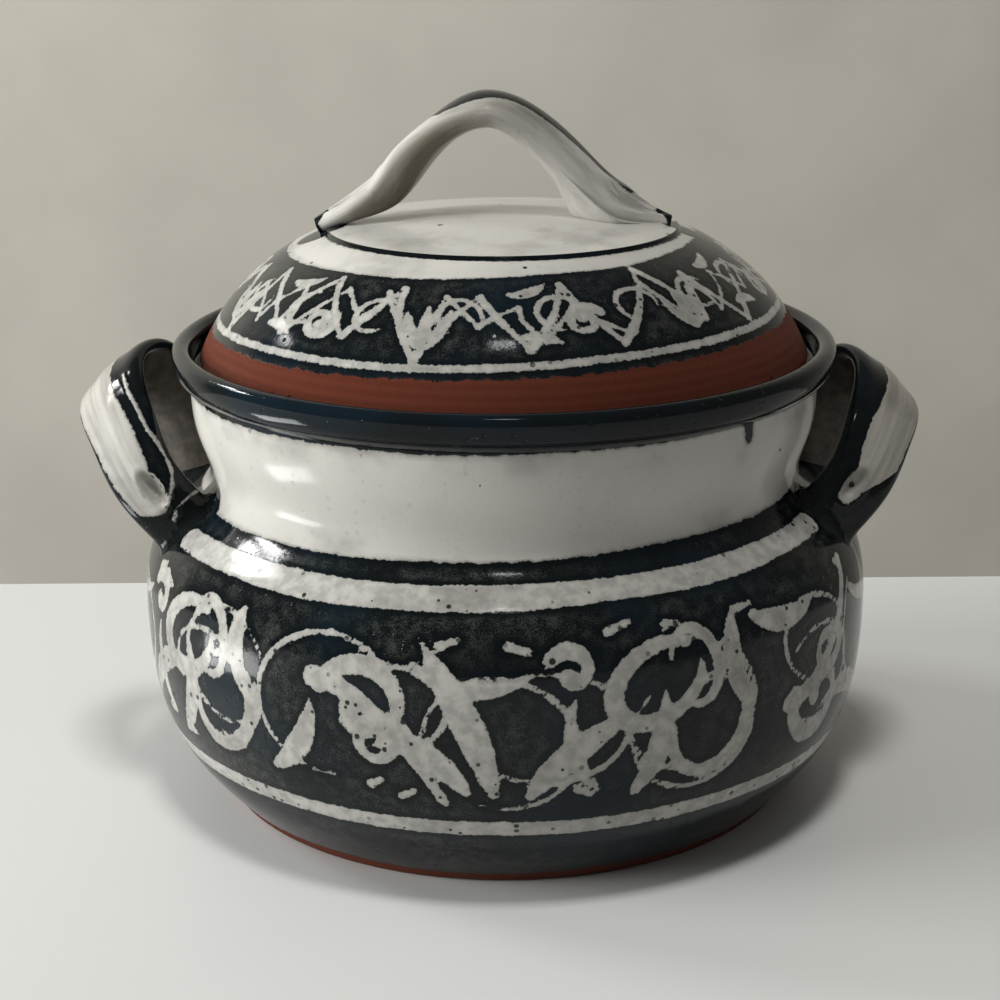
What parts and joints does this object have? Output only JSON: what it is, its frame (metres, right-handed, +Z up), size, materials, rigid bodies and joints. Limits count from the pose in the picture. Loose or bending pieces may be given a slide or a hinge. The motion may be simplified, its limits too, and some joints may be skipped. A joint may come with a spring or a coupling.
{
  "type": "cookie jar",
  "caption": "Hand-thrown cookie jar with a lift-off domed lid, strap ears on the shoulder and a strap handle across the lid.",
  "frame": {"origin": "centre of the foot, on the surface the jar stands on", "axes": "+Z up along the jar's axis, +X towards the right ear as seen from the front, -Y towards the front"},
  "size_m": [0.2835, 0.246, 0.2341],
  "materials": {
    "glazed_clay": "glossy",
    "handle_glaze": "glossy",
    "lid_clay": "satin"
  },
  "bodies": {
    "jar": {"jar_body": "glazed_clay", "left_handle": "handle_glaze", "right_handle": "handle_glaze"},
    "lid": {"lid": "lid_clay", "lid_handle": "handle_glaze"}
  },
  "joints": [
    {"name": "lid_lift", "type": "slide", "parent": "jar", "child": "lid", "axis": [0, 0, 1], "range_m": [0, 0.12]}
  ]
}
